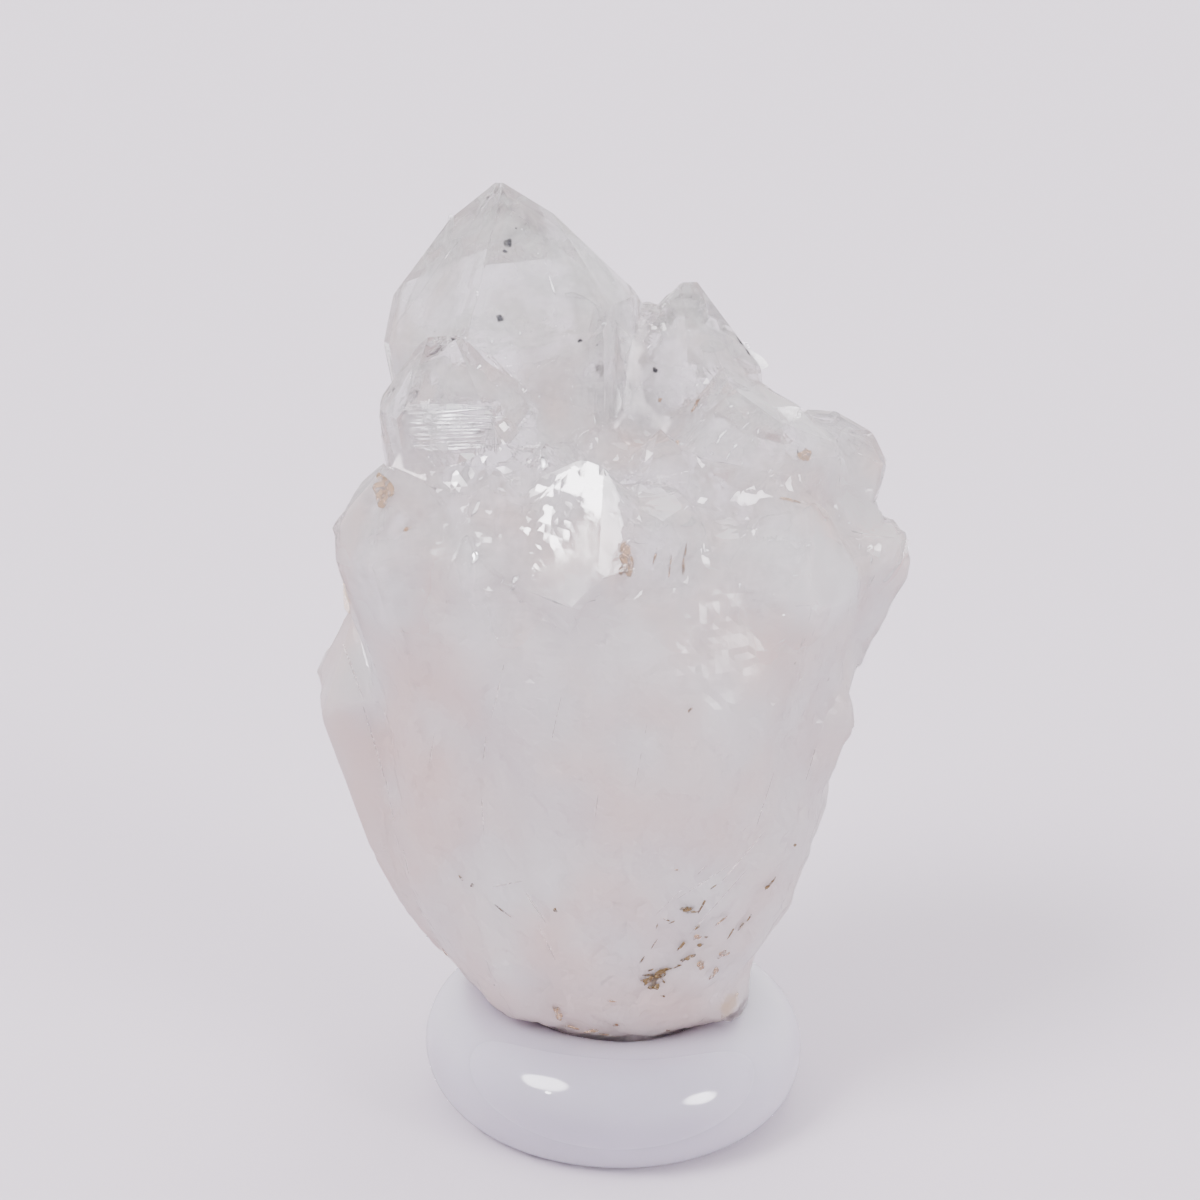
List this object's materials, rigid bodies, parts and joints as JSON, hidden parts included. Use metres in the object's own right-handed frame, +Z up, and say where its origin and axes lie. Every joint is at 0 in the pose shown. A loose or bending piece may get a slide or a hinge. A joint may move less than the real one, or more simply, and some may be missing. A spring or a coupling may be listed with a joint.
{
  "type": "quartz crystal cluster on a ring stand",
  "caption": "Cluster of clear pointed quartz crystals on a milky tapering body, standing upright in a translucent moulded ring that cradles its narrow root.",
  "frame": {"origin": "centre of the whole part's outline in plan, on the surface that the ring stands on", "axes": "+Z up along the cluster's height, -Y towards the front, +X to the viewer's right"},
  "size_m": [0.0298, 0.0222, 0.0475],
  "materials": {
    "quartz": "natural quartz, clear glossy points over a milky translucent body with brown iron stains at the root",
    "ring": "translucent white moulded silicone with a soft gloss"
  },
  "bodies": {
    "root": {"quartz_cluster": "quartz", "ring_stand": "ring"}
  },
  "joints": []
}
